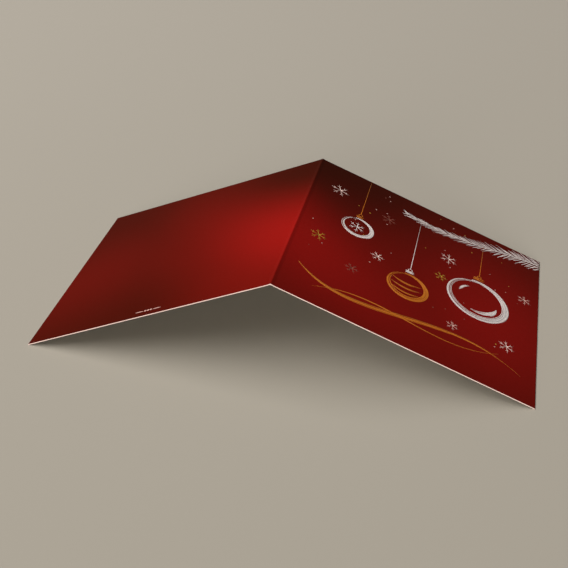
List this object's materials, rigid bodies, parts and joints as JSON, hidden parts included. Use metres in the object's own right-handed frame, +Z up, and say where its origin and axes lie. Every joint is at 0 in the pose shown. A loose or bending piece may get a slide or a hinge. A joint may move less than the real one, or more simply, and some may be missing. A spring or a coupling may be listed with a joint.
{
  "type": "greeting card",
  "caption": "Square greeting card, one sheet of printed board scored and folded once, standing as a low tent on its two opening edges.",
  "frame": {"origin": "centre of the card's footprint, on the surface that its two opening edges stand on", "axes": "+Z up, +Y along the fold from the print's lower edge to its upper edge, +X from the fold towards the front cover's opening edge"},
  "size_m": [0.2734, 0.148, 0.0572],
  "materials": {
    "board": "folding board, offset printed deep red on the outside, white and uncoated inside and on the cut edges",
    "silver_ink": "pale silver ink of the ornaments on the cover, satin",
    "gold_ink": "ochre gold ink of the ornaments on the cover, satin"
  },
  "bodies": {
    "root": {"card": "board"}
  },
  "joints": []
}
